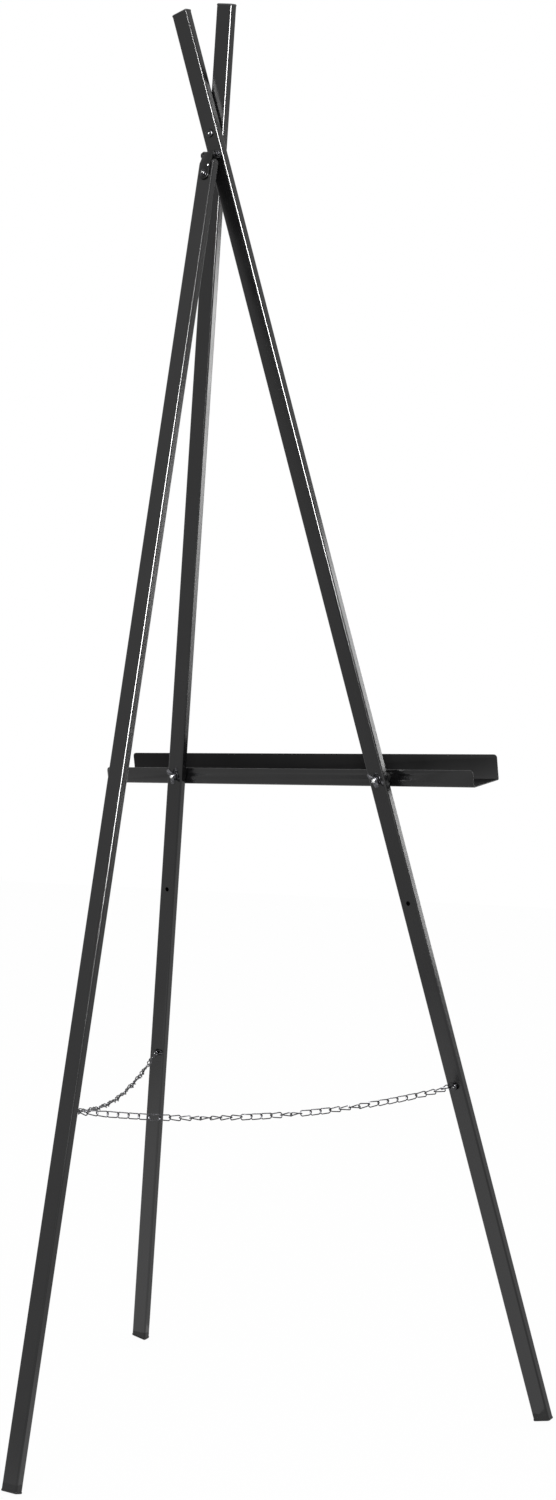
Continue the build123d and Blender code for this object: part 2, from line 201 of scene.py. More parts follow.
class EaselChainSettings(bpy.types.PropertyGroup):
    """Twisted wire links."""

    nickel: FloatVectorProperty(
        name="Nickel", description="Plated steel wire", subtype="COLOR", default=linear("3a3a3c")
    )
    # The right chain crosses two joints, and is parted here into two stretches.
    parting: FloatProperty(
        name="Parting", description="Where the right chain is parted", subtype="FACTOR", default=0.45
    )
    wire: FloatProperty(
        name="Wire radius", description="Half the wire's thickness", default=0.66 * MM, unit="LENGTH"
    )
    pitch: FloatProperty(
        name="Pitch", description="From one link to the next", default=12 * MM, unit="LENGTH"
    )
    width: FloatProperty(
        name="Link width", description="Across a link, outside", default=7.5 * MM, unit="LENGTH"
    )
    twist: FloatProperty(
        name="Twist", description="Turn of a link from end to end", subtype="ANGLE", default=radians(50)
    )
    steps: IntProperty(name="Link steps", description="Segments round a link", default=16, min=8)


class EaselStageSettings(bpy.types.PropertyGroup):
    """Camera, floor and lamps."""

    eye: FloatVectorProperty(
        name="Camera place",
        description="Where the camera stands",
        subtype="TRANSLATION",
        default=(-1.6405, 2.052, 0.7614),
    )
    heading: FloatProperty(
        name="Heading", description="Turn about the vertical", subtype="ANGLE", default=radians(217.31)
    )
    pitch: FloatProperty(
        name="Pitch", description="Tilt of the view above level", subtype="ANGLE", default=radians(-1.46)
    )
    roll: FloatProperty(
        name="Roll", description="Turn about the view's axis", subtype="ANGLE", default=radians(0.207)
    )
    lens: FloatProperty(name="Lens", description="Focal length", default=56.62, unit="CAMERA")
    shift_x: FloatProperty(
        name="Shift X", description="Sideways framing", default=0.0245, subtype="FACTOR"
    )
    shift_y: FloatProperty(name="Shift Y", description="Upward framing", default=0.0405, subtype="FACTOR")
    backdrop: FloatVectorProperty(
        name="Backdrop", description="Floor and surroundings", subtype="COLOR", default=linear("ffffff")
    )
    key_power: FloatProperty(name="Key", description="Large soft lamp", default=26.0, unit="POWER")
    edge_power: FloatProperty(
        name="Edge box", description="Tall box for the corners' lines", default=191.0, unit="POWER"
    )
    side_power: FloatProperty(
        name="Side box", description="Small box at the legs' side", default=4.9, unit="POWER"
    )
    bounce_power: FloatProperty(
        name="Bounce", description="Light sent up by the floor", default=2.2, unit="POWER"
    )


# ---- Materials ----
def add_node(tree, kind, values=None, links=None):
    """Adds a node, sets its fields and sockets, and links sources into its inputs."""
    node = tree.nodes.new(kind)
    for key, value in (values or {}).items():
        if isinstance(key, int) or key in node.inputs:
            node.inputs[key].default_value = value
        else:
            setattr(node, key, value)
    for key, source in (links or {}).items():
        tree.links.new(source, node.inputs[key])
    return node


def surface(name):
    """Starts a material. Returns its tree, its shader and the Object coordinates that its patterns read."""
    material = bpy.data.materials.new(name)
    material.use_nodes = True
    tree = material.node_tree
    tree.nodes.clear()
    shader = add_node(tree, "ShaderNodeBsdfPrincipled")
    add_node(tree, "ShaderNodeOutputMaterial", links={"Surface": shader.outputs["BSDF"]})
    where = add_node(tree, "ShaderNodeTexCoord").outputs["Object"]
    return tree, shader, where


def powder_coat(name, base, bloom, roughness, grain, gloss=1.4, peel_depth=0.05 * MM):
    """Semi-gloss polyester powder coat, baked on steel.

    It flows out nearly smooth, so it shows fine orange peel, faint clouds and soft highlights.
    The gloss is the coat's IOR, a little under a clear lacquer's because of its black filler.
    """
    tree, shader, where = surface(name)
    # The spray leaves clouds about 60 mm across.
    clouds = add_node(tree, "ShaderNodeTexNoise", {"Scale": 1 / (60 * MM), "Detail": 3.0}, {"Vector": where})
    tone = add_node(
        tree,
        "ShaderNodeMix",
        {"data_type": "RGBA", 6: opaque(base), 7: opaque(bloom)},
        {0: clouds.outputs[0]},
    )
    tree.links.new(tone.outputs[2], shader.inputs["Base Color"])
    shader.inputs["IOR"].default_value = gloss
    peel = add_node(tree, "ShaderNodeTexNoise", {"Scale": 1 / grain, "Detail": 1.5}, {"Vector": where})
    sheen = add_node(
        tree,
        "ShaderNodeMapRange",
        {"From Min": 0.3, "From Max": 0.7, "To Min": roughness - 0.04, "To Max": roughness + 0.05},
        {"Value": clouds.outputs[0]},
    )
    tree.links.new(sheen.outputs[0], shader.inputs["Roughness"])
    relief = add_node(
        tree, "ShaderNodeBump", {"Strength": 0.25, "Distance": peel_depth}, {"Height": peel.outputs[0]}
    )
    tree.links.new(relief.outputs[0], shader.inputs["Normal"])


def moulded_polyethylene(base):
    """Black low-density polyethylene, moulded in a spark-eroded tool: waxy, even, with a very fine texture.

    Its IOR is 1.51; carbon black and the texture take some of that gloss away.
    """
    tree, shader, where = surface("moulded_polyethylene")
    shader.inputs["Base Color"].default_value = opaque(base)
    shader.inputs["IOR"].default_value = 1.38
    # The tool's texture is about 0.1 mm; it is drawn at 0.5 mm so that it shows.
    grit = 0.5 * MM
    texture = add_node(tree, "ShaderNodeTexNoise", {"Scale": 1 / grit, "Detail": 2.0}, {"Vector": where})
    matt = add_node(
        tree, "ShaderNodeMapRange", {"To Min": 0.42, "To Max": 0.56}, {"Value": texture.outputs[0]}
    )
    tree.links.new(matt.outputs[0], shader.inputs["Roughness"])
    relief = add_node(
        tree, "ShaderNodeBump", {"Strength": 0.2, "Distance": 0.03 * MM}, {"Height": texture.outputs[0]}
    )
    tree.links.new(relief.outputs[0], shader.inputs["Normal"])


def plated_steel(name, base, smooth, worn):
    """Electroplated steel, zinc or nickel: a clear metal with slight clouding from the bath."""
    tree, shader, where = surface(name)
    shader.inputs["Metallic"].default_value = 1.0
    cloud = 2.5 * MM
    bath = add_node(tree, "ShaderNodeTexNoise", {"Scale": 1 / cloud, "Detail": 4.0}, {"Vector": where})
    darker = tuple(part * 0.72 for part in base)
    tone = add_node(
        tree, "ShaderNodeMix", {"data_type": "RGBA", 6: opaque(darker), 7: opaque(base)}, {0: bath.outputs[0]}
    )
    tree.links.new(tone.outputs[2], shader.inputs["Base Color"])
    polish = add_node(
        tree, "ShaderNodeMapRange", {"To Min": smooth, "To Max": worn}, {"Value": bath.outputs[0]}
    )
    tree.links.new(polish.outputs[0], shader.inputs["Roughness"])


def cast_black_nickel(base):
    """Die-cast zinc with black nickel plating: dark metal over the fine skin of the casting."""
    tree, shader, where = surface("cast_black_nickel")
    shader.inputs["Metallic"].default_value = 1.0
    pit = 0.8 * MM
    skin = add_node(tree, "ShaderNodeTexNoise", {"Scale": 1 / pit, "Detail": 5.0}, {"Vector": where})
    darker = tuple(part * 0.25 for part in base)
    tone = add_node(
        tree, "ShaderNodeMix", {"data_type": "RGBA", 6: opaque(darker), 7: opaque(base)}, {0: skin.outputs[0]}
    )
    tree.links.new(tone.outputs[2], shader.inputs["Base Color"])
    rough = add_node(
        tree, "ShaderNodeMapRange", {"To Min": 0.24, "To Max": 0.42}, {"Value": skin.outputs[0]}
    )
    tree.links.new(rough.outputs[0], shader.inputs["Roughness"])
    relief = add_node(
        tree, "ShaderNodeBump", {"Strength": 0.3, "Distance": 0.05 * MM}, {"Height": skin.outputs[0]}
    )
    tree.links.new(relief.outputs[0], shader.inputs["Normal"])


# The finish of each material slot in the record
FINISH_NAMES = {
    "tube_coating": "powder_coat_tube",
    "tray_coating": "powder_coat_tray",
    "hinge_coating": "black_plate_hinge",
    "end_plug_plastic": "moulded_polyethylene",
    "fastener_steel": "black_zinc_steel",
    "wing_nut_metal": "cast_black_nickel",
    "chain_metal": "nickel_wire",
}


def make_finishes():
    """Makes every finish."""
    coat = bpy.context.scene.easel_coating
    fit = bpy.context.scene.easel_fittings
    chain = bpy.context.scene.easel_chain
    sheet_grain = coat.grain * 0.9
    powder_coat("powder_coat_tube", coat.tube, coat.bloom, coat.roughness, coat.grain)
    powder_coat("powder_coat_tray", coat.tube, coat.bloom, coat.roughness + 0.02, sheet_grain)
    # Painted shade: a darker, less glossy coat inside the tray's channel, where shade falls.
    powder_coat("painted_shade_channel_coat", coat.hinge, coat.tube, coat.roughness + 0.3, sheet_grain, gloss=1.18)
    powder_coat(
        "black_plate_hinge",
        coat.hinge,
        coat.bloom,
        coat.roughness + 0.12,
        coat.grain * 1.3,
        gloss=1.26,
        peel_depth=0.4 * MM,
    )
    moulded_polyethylene(fit.plug)
    plated_steel("black_zinc_steel", fit.zinc, smooth=0.16, worn=0.3)
    # Painted highlight: bright zinc for the screw recesses, bolt ends and the strap's rivet, which show as
    # glints.
    plated_steel("glint_zinc_steel", fit.glint_zinc, smooth=0.2, worn=0.36)
    cast_black_nickel(fit.dark_plate)
    plated_steel("nickel_wire", chain.nickel, smooth=0.32, worn=0.46)


def finish(name):
    """A finish by its name. The first call makes them all."""
    if name not in bpy.data.materials:
        make_finishes()
    return bpy.data.materials[name]


# ---- Making pieces ----
def show(name, shape, body, slot, replaces=(), crease=35.0):
    """Turns a finished bmesh, already in place, into a piece that rides on a body."""
    mesh = bpy.data.meshes.new(name)
    shape.to_mesh(mesh)
    shape.free()
    mesh.shade_smooth()
    mesh.set_sharp_from_angle(angle=radians(crease))
    mesh.materials.append(finish(FINISH_NAMES[slot]))
    piece = bpy.data.objects.new(name, mesh)
    bpy.context.scene.collection.objects.link(piece)
    if body:
        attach(piece, body)
    if replaces:
        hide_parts(*replaces)
    return piece


def paint_glint(piece):
    """Gives a small piece bright zinc: a painted highlight that shows as a glint on the black fittings."""
    piece.data.materials[0] = finish("glint_zinc_steel")


def body_of(node):
    """The body that a CAD node belongs to."""
    return frame["nodes"][node]["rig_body"]


def merged_copy(node):
    """A bmesh of a CAD node with its loose triangles joined into faces."""
    shape = bmesh.new()
    shape.from_mesh(frame["nodes"][node].data)
    bmesh.ops.remove_doubles(shape, verts=shape.verts, dist=WELD)
    bmesh.ops.dissolve_limit(shape, angle_limit=radians(1.5), verts=shape.verts, edges=shape.edges)
    return shape


def bevel(shape, edges, width, segments):
    """Rounds some edges of a shape."""
    bmesh.ops.bevel(
        shape,
        geom=edges,
        offset=width,
        offset_type="OFFSET",
        affect="EDGES",
        segments=segments,
        profile=0.5,
        material=-1,
        clamp_overlap=True,
    )


def round_edges(shape, width, segments=2, angle=35.0):
    """Rounds the edges of a shape that are sharper than the angle."""
    sharp = [edge for edge in shape.edges if edge.is_manifold and edge.calc_face_angle() > radians(angle)]
    bevel(shape, sharp, width, segments)


def soften(node, slot, width, segments=2):
    """Replaces a CAD node with a copy whose edges are rounded as the real piece's are."""
    shape = merged_copy(node)
    round_edges(shape, width, segments)
    return show(f"{node}_finished", shape, body_of(node), slot, [node])


def add_cross(shape, place, size):
    """Adds a driver's cross to a cutter: two blades that stand down into the head and narrow as they go."""
    length, width, height = size * 2, size * 0.42, size * 1.3
    foot_share = 0.55
    for turn in (0.0, pi / 2):
        made = bmesh.ops.create_cube(shape, size=1.0)["verts"]
        for vert in made:
            taper = 1.0 if vert.co.z > 0 else foot_share
            vert.co = Vector((vert.co.x * length * taper, vert.co.y * width, vert.co.z * height))
        bmesh.ops.transform(shape, matrix=place @ Matrix.Rotation(turn, 4, "Z"), verts=made)


def recess(piece, place, size):
    """Cuts a driver's cross into the head of a screw and makes its inside bright zinc, a painted highlight
    that shows as a glint.
    """
    cutter_shape = bmesh.new()
    add_cross(cutter_shape, place, size)
    cutter_mesh = bpy.data.meshes.new("driver_cross")
    cutter_shape.to_mesh(cutter_mesh)
    cutter_shape.free()
    cutter = bpy.data.objects.new("driver_cross", cutter_mesh)
    bpy.context.scene.collection.objects.link(cutter)
    cut = piece.modifiers.new("driver_cross", "BOOLEAN")
    cut.operation = "DIFFERENCE"
    cut.solver = "EXACT"
    cut.use_self = True
    cut.object = cutter
    bpy.context.view_layer.update()
    result = bpy.data.meshes.new_from_object(piece.evaluated_get(bpy.context.evaluated_depsgraph_get()))
    piece.modifiers.remove(cut)
    piece.data = result
    bpy.data.objects.remove(cutter)
    # Painted highlight: the faces inside the cross take the bright zinc, so that they show as a glint.
    result.materials.append(finish("glint_zinc_steel"))
    inward = place.inverted()
    for face in result.polygons:
        middle = inward @ face.center
        if -size < middle.z < -FLAT and middle.xy.length < size * 1.2:
            face.material_index = 1


def screw(node, out, width, cross):
    """Replaces a CAD screw with one whose edges are rounded and whose head takes a driver."""
    driven = radians(20)
    piece = soften(node, "fastener_steel", width)
    recess(piece, seat(end_face(node, out), out, driven), cross)


def spin_round(shape, section, steps):
    """Spins a section all the way round z."""
    bmesh.ops.spin(shape, geom=section, axis=UP, angle=tau, steps=steps, use_merge=True)
    bmesh.ops.remove_doubles(shape, verts=shape.verts, dist=WELD)


def lathe(outline, steps=32):
    """A closed round shape about z, from an outline of radius and height pairs."""
    shape = bmesh.new()
    corners = [shape.verts.new((radius, 0, height)) for radius, height in outline]
    sides = [shape.edges.new(pair) for pair in zip(corners, corners[1:])]
    spin_round(shape, corners + sides, steps)
    bmesh.ops.recalc_face_normals(shape, faces=shape.faces)
    return shape


# ---- Legs and plugs ----
class EASEL_OT_legs(bpy.types.Operator):
    """Coats the three tube legs."""

    bl_idname = "easel.legs"
    bl_label = "Coat Legs"

    def execute(self, context):
        for node in ("front_leg_left", "front_leg_right", "rear_leg"):
            leg = frame["nodes"][node]
            leg.data.materials.clear()
            leg.data.materials.append(finish("powder_coat_tube"))
        return {"FINISHED"}


def crowned_plug(node, out, width):
    """Replaces a plug with one whose end face has a wide rounded rim and whose flange has soft edges."""
    square_on, flange_round = 0.99, 0.15 * MM
    shape = merged_copy(node)
    shape.normal_update()
    facing_out = [face for face in shape.faces if face.normal.dot(out) > square_on]
    cap = max(facing_out, key=lambda face: face.calc_area())
    bevel(shape, list(cap.edges), width, segments=5)
    round_edges(shape, flange_round)
    show(f"{node}_finished", shape, body_of(node), "end_plug_plastic", [node])


class EASEL_OT_plugs(bpy.types.Operator):
    """Moulds the plugs in the tubes' ends."""

    bl_idname = "easel.plugs"
    bl_label = "Mould Plugs"

    def execute(self, context):
        foot_rim, top_rim, cap_rim = 0.9 * MM, 1.7 * MM, 0.9 * MM
        for side in ("left", "right", "rear"):
            low, high = (sum(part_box(f"{end}_plug_{side}"), Vector()) / 2 for end in ("foot", "top"))
            upward = (high - low).normalized()
            crowned_plug(f"foot_plug_{side}", -upward, foot_rim)
            if side == "rear":
                soften("top_plug_rear", "end_plug_plastic", cap_rim, segments=4)
            else:
                crowned_plug(f"top_plug_{side}", upward, top_rim)
        return {"FINISHED"}


# ---- Crossing and hinge ----
class EASEL_OT_crossing(bpy.types.Operator):
    """Finishes the bolt, washer and nut where the front legs cross."""

    bl_idname = "easel.crossing"
    bl_label = "Finish Crossing"

    def execute(self, context):
        screw("pivot_bolt", REARWARD, width=0.2 * MM, cross=1.9 * MM)
        soften("pivot_washer", "fastener_steel", 0.15 * MM)
        soften("pivot_nut", "fastener_steel", 0.3 * MM)
        return {"FINISHED"}


class EASEL_OT_hinge(bpy.types.Operator):
    """Finishes the prop leg's hinge: bracket, pin, nut, bent strap and its screw."""

    bl_idname = "easel.hinge"
    bl_label = "Finish Hinge"

    def execute(self, context):
        soften("hinge_bracket", "hinge_coating", 0.25 * MM)
        soften("hinge_pin", "fastener_steel", 0.4 * MM, segments=3)
        soften("hinge_nut", "fastener_steel", 0.25 * MM)
        soften("hinge_strap", "hinge_coating", 0.3 * MM)
        soften("strap_washer", "fastener_steel", 0.15 * MM)
        upward = (joint_point("prop_fold") - end_face("rear_leg", -UP)).normalized()
        rearward = Vector((-1, 0, 0)).cross(upward)
        screw("strap_screw", rearward, width=0.15 * MM, cross=1.6 * MM)
        self.glint_rivet(end_face("strap_screw", rearward), rearward, upward)
        return {"FINISHED"}

    def glint_rivet(self, head, rearward, upward):
        """A small rivet above the strap's screw and to one side, with a bright zinc head: a painted highlight
        that stands in for a glint on the strap.
        """
        below_head, above, aside = 3.0 * MM, 9.0 * MM, 4.9 * MM
        place = head - rearward * below_head + upward * above - Vector((aside, 0, 0))
        # Radius and height from the strap, in millimetres
        dome = [(0, -0.3), (1.15, -0.3), (1.15, 0.05), (1.0, 0.35), (0.6, 0.58), (0, 0.66)]
        rivet = lathe([(radius * MM, height * MM) for radius, height in dome], steps=24)
        bmesh.ops.transform(rivet, matrix=seat(place, rearward), verts=rivet.verts)
        # Painted highlight: the rivet's head is bright zinc.
        paint_glint(show("strap_glint_rivet", rivet, body_of("hinge_strap"), "fastener_steel"))


# ---- Tray and its fittings ----
class EASEL_OT_tray(bpy.types.Operator):
    """Rounds the bent sheet tray's cut edges and coats it."""

    bl_idname = "easel.tray"
    bl_label = "Finish Tray"

    def execute(self, context):
        self.shade_channel(soften("tray", "tray_coating", 0.28 * MM))
        soften("tray_spacer", "end_plug_plastic", 0.3 * MM)
        for side in ("left", "right"):
            screw(f"tray_bolt_{side}", -REARWARD, width=0.2 * MM, cross=1.9 * MM)
            soften(f"tray_washer_{side}", "fastener_steel", 0.18 * MM)
        soften("tray_stud_right", "fastener_steel", 0.3 * MM)
        return {"FINISHED"}

    def shade_channel(self, tray):
        """Gives the inside of the channel and its cut ends a darker, less glossy coat: painted shade for the
        shade that falls inside the channel.
        """
        facing_in, facing_along = 0.3, 0.5
        tray.data.materials.append(finish("painted_shade_channel_coat"))
        low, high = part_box("tray")
        middle = (low + high) / 2
        for face in tray.data.polygons:
            inward = middle - face.center
            inward.x = 0
            # Painted shade: these faces take the darker channel coat.
            if inward.normalized().dot(face.normal) > facing_in or abs(face.normal.x) > facing_along:
                face.material_index = 1


def wing(sizes, way):
    """One wing of a wing nut: a round lobe that thins out from the hub."""
    lobe = sizes.wing_height * 0.36
    half_tip, half_root = 0.9 * MM, 1.35 * MM
    # Shares of the hub's radius, and heights
    root = ((0.2, 0.5 * MM), (0.2, sizes.hub_height * 0.86), (0.75, 0.3 * MM))
    shape = bmesh.new()
    for side in (-1, 1):
        made = bmesh.ops.create_circle(shape, segments=20, radius=lobe)["verts"]
        lean = Matrix.Rotation(pi / 2, 4, "X")
        middle = (way * (sizes.wing_span / 2 - lobe), side * half_tip, sizes.wing_height - lobe)
        place = Matrix.Translation(middle)
        bmesh.ops.transform(shape, matrix=place @ lean, verts=made)
        for across, height in root:
            shape.verts.new((way * sizes.hub_radius * across, side * half_root, height))
    hull = bmesh.ops.convex_hull(shape, input=shape.verts)
    spare = hull["geom_interior"] + hull["geom_unused"]
    inside = [part for part in spare if isinstance(part, bmesh.types.BMVert)]
    bmesh.ops.delete(shape, geom=inside, context="VERTS")
    bmesh.ops.dissolve_limit(shape, angle_limit=radians(1), verts=shape.verts, edges=shape.edges)
    round_edges(shape, 0.5 * MM, segments=3, angle=50)
    return shape


def wing_nut(side, turn):
    """A cast wing nut: a tapered hub with a rounded top, a plain bore and two wings."""
    sizes = bpy.context.scene.easel_fittings
    play, seat_edge = 0.03 * MM, 0.3 * MM
    bore = sizes.bolt_radius + play
    outer, top = sizes.hub_radius, sizes.hub_height
    # The rounded top: shares of the hub's radius, and millimetres below its top
    crown = ((0.88, 1.5), (0.86, 1.0), (0.82, 0.6), (0.76, 0.28), (0.68, 0.07))
    outline = [(bore, 0), (outer - seat_edge, 0), (outer, seat_edge)]
    outline += [(outer * share, top - below * MM) for share, below in crown]
    outline += [(bore + 0.25 * MM, top), (bore, top - 0.2 * MM), (bore, 0)]
    hub = lathe(outline)
    whole = bpy.data.meshes.new("wing_nut")
    hub.to_mesh(whole)
    hub.clear()
    hub.from_mesh(whole)
    for way in (1, -1):
        part = wing(sizes, way)
        part.to_mesh(whole)
        part.free()
        hub.from_mesh(whole)
    bpy.data.meshes.remove(whole)
    bmesh.ops.recalc_face_normals(hub, faces=hub.faces)
    name = f"wing_nut_{side}"
    place = seat(joint_point(f"{name}_spin"), REARWARD, turn)
    bmesh.ops.transform(hub, matrix=place, verts=hub.verts)
    show(f"{name}_cast", hub, name, "wing_nut_metal", [name])


def bolt_end(side):
    """The domed end of a tray bolt and its last two threads, as plain rings, which stand a little proud."""
    sizes = bpy.context.scene.easel_fittings
    play, proud = 0.02 * MM, 0.35 * MM
    outer, pitch = sizes.bolt_radius - play, sizes.thread_pitch
    root = outer - pitch / 2
    top = sizes.hub_height + proud
    # The thread: radii, and pitches below its top
    thread = ((0, 2), (root, 2), (outer, 1.6), (outer, 1.4), (root, 1), (outer, 0.6), (outer, 0.4), (root, 0))
    # The dome: shares of the thread's root, and millimetres above its top
    dome = ((0.92, 0.22), (0.7, 0.46), (0.36, 0.62), (0, 0.68))
    outline = [(radius, top - turns * pitch) for radius, turns in thread]
    outline += [(root * share, top + above * MM) for share, above in dome]
    tip = lathe(outline, steps=28)
    place = seat(joint_point(f"wing_nut_{side}_spin"), REARWARD)
    bmesh.ops.transform(tip, matrix=place, verts=tip.verts)
    # Painted highlight: the bolt's end is bright zinc, so that it shows as a glint.
    paint_glint(show(f"tray_bolt_end_{side}", tip, body_of(f"front_leg_{side}"), "fastener_steel"))


class EASEL_OT_wing_nuts(bpy.types.Operator):
    """Casts the two wing nuts and turns the bolts' ends."""

    bl_idname = "easel.wing_nuts"
    bl_label = "Cast Wing Nuts"

    def execute(self, context):
        # The degrees that each nut's wings stopped at
        for side, turn in (("left", 127), ("right", 111)):
            wing_nut(side, radians(turn))
            bolt_end(side)
        return {"FINISHED"}


# ---- Chains ----
# The chains' routes from the eye, in millimetres, as the solids have them
CHAIN_LEFT_ROUTE = [
    (-6, 183, 380),
    (-30, 139, 373),
    (-58, 89, 367),
    (-86, 39, 364),
    (-114, -11, 363),
    (-141, -61, 364),
    (-169, -111, 368),
    (-197, -161, 374),
    (-221.5, -203.8, 382.1),
]
CHAIN_RIGHT_ROUTE = [
    (0, 183, 380),
    (24, 138, 373),
    (53, 86, 367),
    (82, 35, 363),
    (110, -16, 362),
    (139, -68, 364),
    (168, -119, 368),
    (196, -171, 375),
    (220.6, -215.1, 383.2),
]
# The left chain's links, run by run from the eye: how many, and the turn that the run starts and ends with
CHAIN_LEFT_RUNS = (
    (3, 70, 10),
    (4, 0, 4),
    (2, 8, 36),
    (3, 44, 90),
    (4, 112, 150),
    (3, 176, 184),
    (3, 222, 330),
    (3, 356, 364),
    (3, 412, 460),
    (1, 508, 508),
    (5, 526, 546),
    (4, 580, 640),
)


def route_line(route):
    """The smooth line along a chain's route, as closely spaced points."""
    curve = bpy.data.curves.new("chain_route", "CURVE")
    curve.dimensions = "3D"
    spline = curve.splines.new("NURBS")
    spline.points.add(len(route) - 1)
    for point, place in zip(spline.points, route):
        point.co = (*(part * MM for part in place), 1)
    spline.order_u = 3
    spline.use_endpoint_u = True
    spline.resolution_u = 24
    guide = bpy.data.objects.new("chain_route", curve)
    mesh = bpy.data.meshes.new_from_object(guide)
    line = [vertex.co.copy() for vertex in mesh.vertices]
    bpy.data.meshes.remove(mesh)
    bpy.data.objects.remove(guide)
    bpy.data.curves.remove(curve)
    return line


def point_along(line, distance):
    """The point at a distance along a line, and the line's direction there."""
    for before, after in zip(line, line[1:]):
        run = (after - before).length
        if distance <= run or after is line[-1]:
            return before.lerp(after, distance / run), (after - before).normalized()
        distance -= run


def line_length(line):
    """A line's length."""
    return sum((after - before).length for before, after in zip(line, line[1:]))


def link_shape(sizes, pitch, twist):
    """A wire link about the middle: a rounded loop along x, twisted from end to end."""
    shape = bmesh.new()
    flat = 0.5 * MM
    bend = sizes.width / 2 - sizes.wire - flat
    made = bmesh.ops.create_circle(shape, segments=6, radius=sizes.wire)["verts"]
    upright = Matrix.Translation((bend, 0, 0)) @ Matrix.Rotation(pi / 2, 4, "X")
    bmesh.ops.transform(shape, matrix=Matrix.Rotation(pi / sizes.steps, 4, "Z") @ upright, verts=made)
    spin_round(shape, shape.verts[:] + shape.edges[:], sizes.steps)
    straight = pitch / 2 + sizes.wire - bend
    for vert in shape.verts:
        vert.co.x += straight if vert.co.x > 0 else -straight
        vert.co.y += flat if vert.co.y > 0 else -flat
        turn = -twist * vert.co.x / (pitch + 2 * sizes.wire)
        vert.co = Matrix.Rotation(turn, 3, "X") @ vert.co
    bmesh.ops.recalc_face_normals(shape, faces=shape.faces)
    return shape


def link_place(line, distance, turn):
    """The placing of a link on a line, turned about it from standing upright."""
    point, along = point_along(line, distance)
    side = UP.cross(along).normalized()
    upright = along.cross(side)
    basis = Matrix((along, upright, side)).transposed().to_4x4()
    return Matrix.Translation(point) @ basis @ Matrix.Rotation(turn, 4, "X")


def left_turn(number):
    """How far a link of the left chain is turned: nearly alike in a run, and turned over between runs."""
    for count, first, last in CHAIN_LEFT_RUNS:
        if number < count:
            return radians(first + (last - first) * number / count)
        number -= count
    return radians(last)


def right_turn(number):
    """How far a link of the right chain is turned: it leans more as it climbs, and rocks about that."""
    lean = 100 + 1.4 * number
    rock = 36 * sin(1.5 * number) + 18 * sin(0.4 * number + 1)
    return radians(lean + rock)


def lay_links(name, line, pitch, numbers, turn_of):
    """Joins links along a line into one mesh."""
    sizes = bpy.context.scene.easel_chain
    whole = bmesh.new()
    mesh = bpy.data.meshes.new(name)
    for number in numbers:
        link = link_shape(sizes, pitch, sizes.twist)
        place = link_place(line, pitch * (number - numbers[0] + 0.5), turn_of(number))
        bmesh.ops.transform(link, matrix=place, verts=link.verts)
        link.to_mesh(mesh)
        link.free()
        whole.from_mesh(mesh)
    bpy.data.meshes.remove(mesh)
    return whole


def part_line(line, start, end):
    """The stretch of a line between two distances along it."""
    distances = [start]
    travelled = 0.0
    for before, after in zip(line, line[1:]):
        travelled += (after - before).length
        if start < travelled < end:
            distances.append(travelled)
    return [point_along(line, distance)[0] for distance in distances + [end]]


def end_link(side, sizes, inward):
    """The last link, flat behind the leg and held under the screw's head. Returns it and its free end."""
    below_head, screw_radius, shorter = 3.0 * MM, 1.9 * MM, 2.0 * MM
    head = end_face(f"chain_screw_{side}", REARWARD)
    reach = sizes.pitch - shorter
    link = link_shape(sizes, reach, 0.0)
    middle = head - REARWARD * below_head + inward * (reach / 2 - screw_radius)
    across = REARWARD.cross(inward)
    basis = Matrix((inward, across, REARWARD)).transposed().to_4x4()
    bmesh.ops.transform(link, matrix=Matrix.Translation(middle) @ basis, verts=link.verts)
    piece = show(f"chain_end_link_{side}", link, body_of(f"front_leg_{side}"), "chain_metal")
    return piece, middle + inward * reach / 2


def chain_line(side, route, sizes):
    """A chain's whole line, from the eye to its end link, with that link."""
    inside_ring, end_room = 2.2 * MM, 12.0 * MM
    inward = LEVEL * (-1 if side == "left" else 1)
    last, meeting = end_link(side, sizes, inward)
    line = route_line(route)
    low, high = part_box("chain_eye")
    hook = Vector(((low.x + high.x) / 2, low.y + inside_ring, (low.z + high.z) / 2))
    kept = [point for point in line if (point - line[-1]).length > end_room]
    return [hook, *kept, meeting], last


class EASEL_OT_chains(bpy.types.Operator):
    """Links the two slack chains between the prop leg's eye and the front legs' screws."""

    bl_idname = "easel.chains"
    bl_label = "Link Chains"

    def execute(self, context):
        sizes = context.scene.easel_chain
        soften("chain_eye", "fastener_steel", 0.1 * MM)
        for side in ("left", "right"):
            screw(f"chain_screw_{side}", REARWARD, width=0.15 * MM, cross=1.5 * MM)
        line, last = chain_line("left", CHAIN_LEFT_ROUTE, sizes)
        self.strand("chain_left_links", line, sizes, 0, ["prop_leg", "left_frame"], [last])
        line, last = chain_line("right", CHAIN_RIGHT_ROUTE, sizes)
        whole = line_length(line)
        parting = whole * sizes.parting
        near, far = part_line(line, 0, parting), part_line(line, parting, whole)
        self.strand("chain_right_links_rear", near, sizes, 0, ["prop_leg", "left_frame"], [])
        passed = round(parting / sizes.pitch)
        self.strand("chain_right_links_front", far, sizes, passed, ["left_frame", "right_leg"], [last])
        return {"FINISHED"}

    def strand(self, name, line, sizes, passed, bodies, ends):
        """One stretch of chain, after the links already passed."""
        length = line_length(line)
        count = round(length / sizes.pitch)
        node, turn_of = ("chain_left", left_turn) if "left" in name else ("chain_right", right_turn)
        shape = lay_links(name, line, length / count, range(passed, passed + count), turn_of)
        links = show(name, shape, None, "chain_metal", [node])
        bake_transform(links)


# ---- Stage ----
def seen_rays(tree):
    """The light path, and a value of 1 on camera and glossy rays."""
    rays = add_node(tree, "ShaderNodeLightPath")
    seen = add_node(
        tree,
        "ShaderNodeMath",
        {"operation": "MAXIMUM"},
        {0: rays.outputs["Is Camera Ray"], 1: rays.outputs["Is Glossy Ray"]},
    )
    return rays, seen


